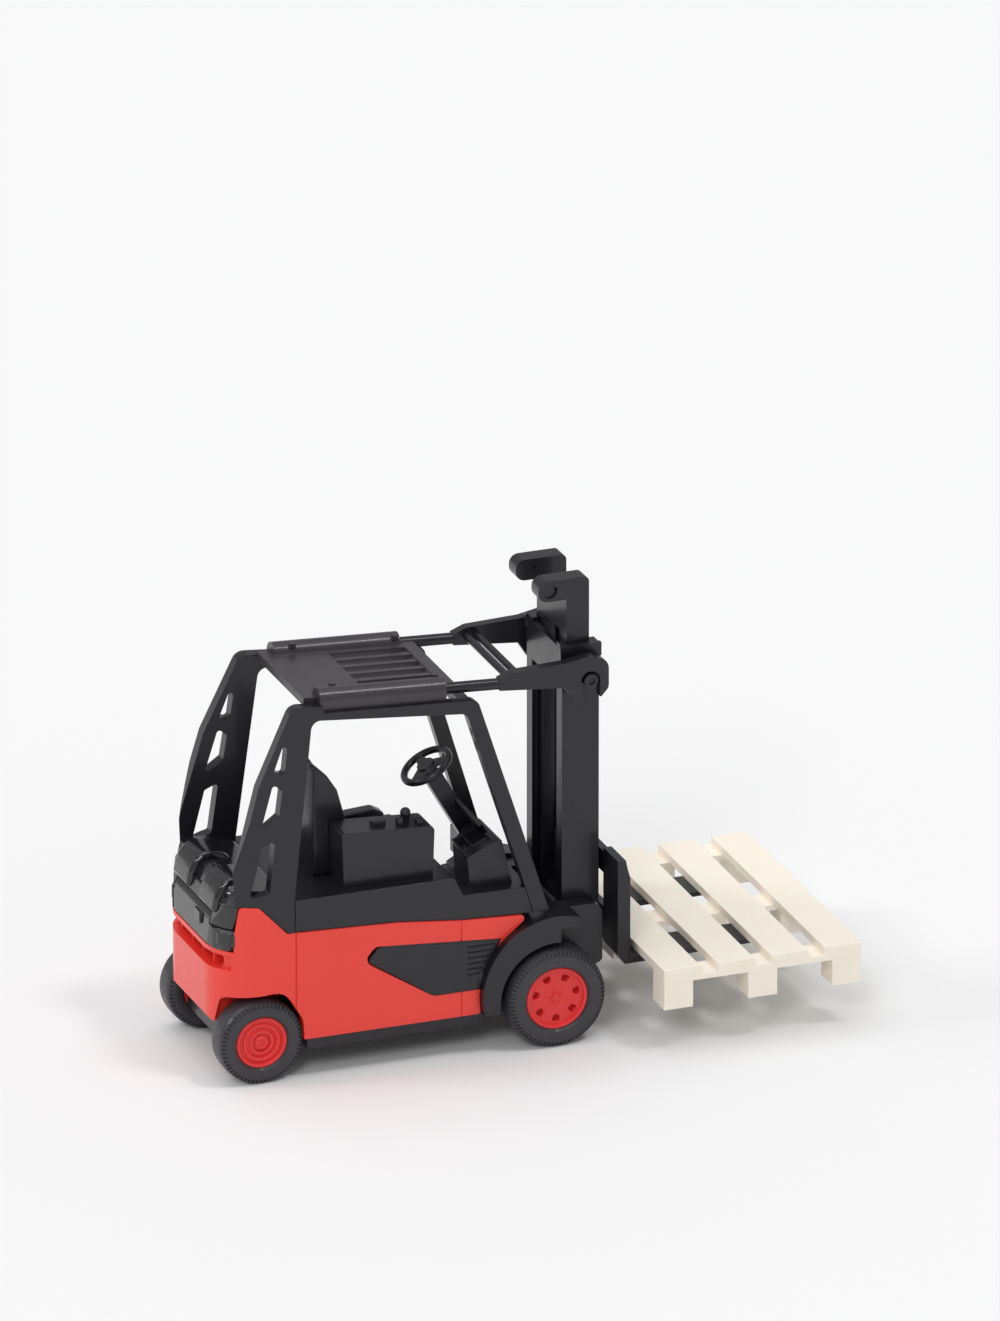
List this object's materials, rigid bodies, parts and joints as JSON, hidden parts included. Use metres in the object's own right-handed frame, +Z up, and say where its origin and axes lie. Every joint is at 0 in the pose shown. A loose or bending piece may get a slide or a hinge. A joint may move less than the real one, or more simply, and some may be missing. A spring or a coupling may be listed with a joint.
{
  "type": "toy forklift",
  "caption": "Small toy counterbalance forklift with an open cab, a tilting two-stage mast, a lifting fork carriage and a loose pallet on its forks.",
  "frame": {"origin": "on the floor under the middle of the whole toy, pallet included", "axes": "+X points forwards along the forks, +Y to the left across the truck, +Z up"},
  "size_m": [0.0683, 0.0324, 0.0492],
  "materials": {
    "red_paint": "smooth gloss enamel on a die-cast body",
    "black_plastic": "semi-gloss moulded plastic",
    "gloss_cover": "polished moulded plastic",
    "roof_plastic": "satin moulded plastic",
    "rim_plastic": "satin moulded plastic",
    "tyre_rubber": "soft moulded tyre",
    "steel": "plain bright steel",
    "pallet_plastic": "cream moulded plastic"
  },
  "bodies": {
    "truck": {"body_casting": "red_paint", "base_plate": "black_plastic", "base_screws": "steel", "side_panel_left": "black_plastic", "side_panel_right": "black_plastic", "cab_floor": "black_plastic", "dashboard": "black_plastic", "steering_column": "black_plastic", "seat": "black_plastic", "armrest": "black_plastic", "cab_frame": "black_plastic", "roof_panel": "roof_plastic", "rear_cover": "gloss_cover"},
    "front_wheels": {"front_axle": "steel", "front_rim_left": "rim_plastic", "front_rim_right": "rim_plastic", "front_tyre_left": "tyre_rubber", "front_tyre_right": "tyre_rubber"},
    "rear_wheels": {"rear_axle": "steel", "rear_rim_left": "rim_plastic", "rear_rim_right": "rim_plastic", "rear_tyre_left": "tyre_rubber", "rear_tyre_right": "tyre_rubber"},
    "steering": {"steering_wheel": "black_plastic"},
    "rods": {"tilt_rods": "black_plastic"},
    "mast": {"outer_mast": "black_plastic"},
    "inner_stage": {"inner_mast": "black_plastic"},
    "carriage": {"fork_carriage": "black_plastic"},
    "load": {"pallet": "pallet_plastic"}
  },
  "joints": [
    {"name": "front_axle_spin", "type": "hinge", "parent": "truck", "child": "front_wheels", "pos_m": [0.0024, 0, 0.0054], "axis": [0, 1, 0], "continuous": true},
    {"name": "rear_axle_spin", "type": "hinge", "parent": "truck", "child": "rear_wheels", "pos_m": [-0.0296, 0, 0.0046], "axis": [0, 1, 0], "continuous": true},
    {"name": "steering_turn", "type": "hinge", "parent": "truck", "child": "steering", "pos_m": [-0.0078, 0, 0.0285], "axis": [-0.4951, 0, 0.8689], "continuous": true},
    {"name": "mast_tilt", "type": "hinge", "parent": "truck", "child": "mast", "pos_m": [0.0066, 0, 0.0096], "axis": [0, 1, 0], "range_deg": [-5, 3]},
    {"name": "rod_slide", "type": "slide", "parent": "truck", "child": "rods", "axis": [0.9984, 0, -0.0558], "range_m": [-0.0027, 0.0017]},
    {"name": "inner_mast_lift", "type": "slide", "parent": "mast", "child": "inner_stage", "axis": [0, 0, 1], "range_m": [-0.0046, 0.02]},
    {"name": "carriage_lift", "type": "slide", "parent": "inner_stage", "child": "carriage", "axis": [0, 0, 1], "range_m": [0, 0.026]},
    {"name": "pallet_pull", "type": "slide", "parent": "carriage", "child": "load", "axis": [1, 0, 0], "range_m": [0, 0.02]}
  ],
  "couplings": [
    {"joint": "rod_slide", "follows": "mast_tilt", "m_per_rad": 0.02925}
  ]
}
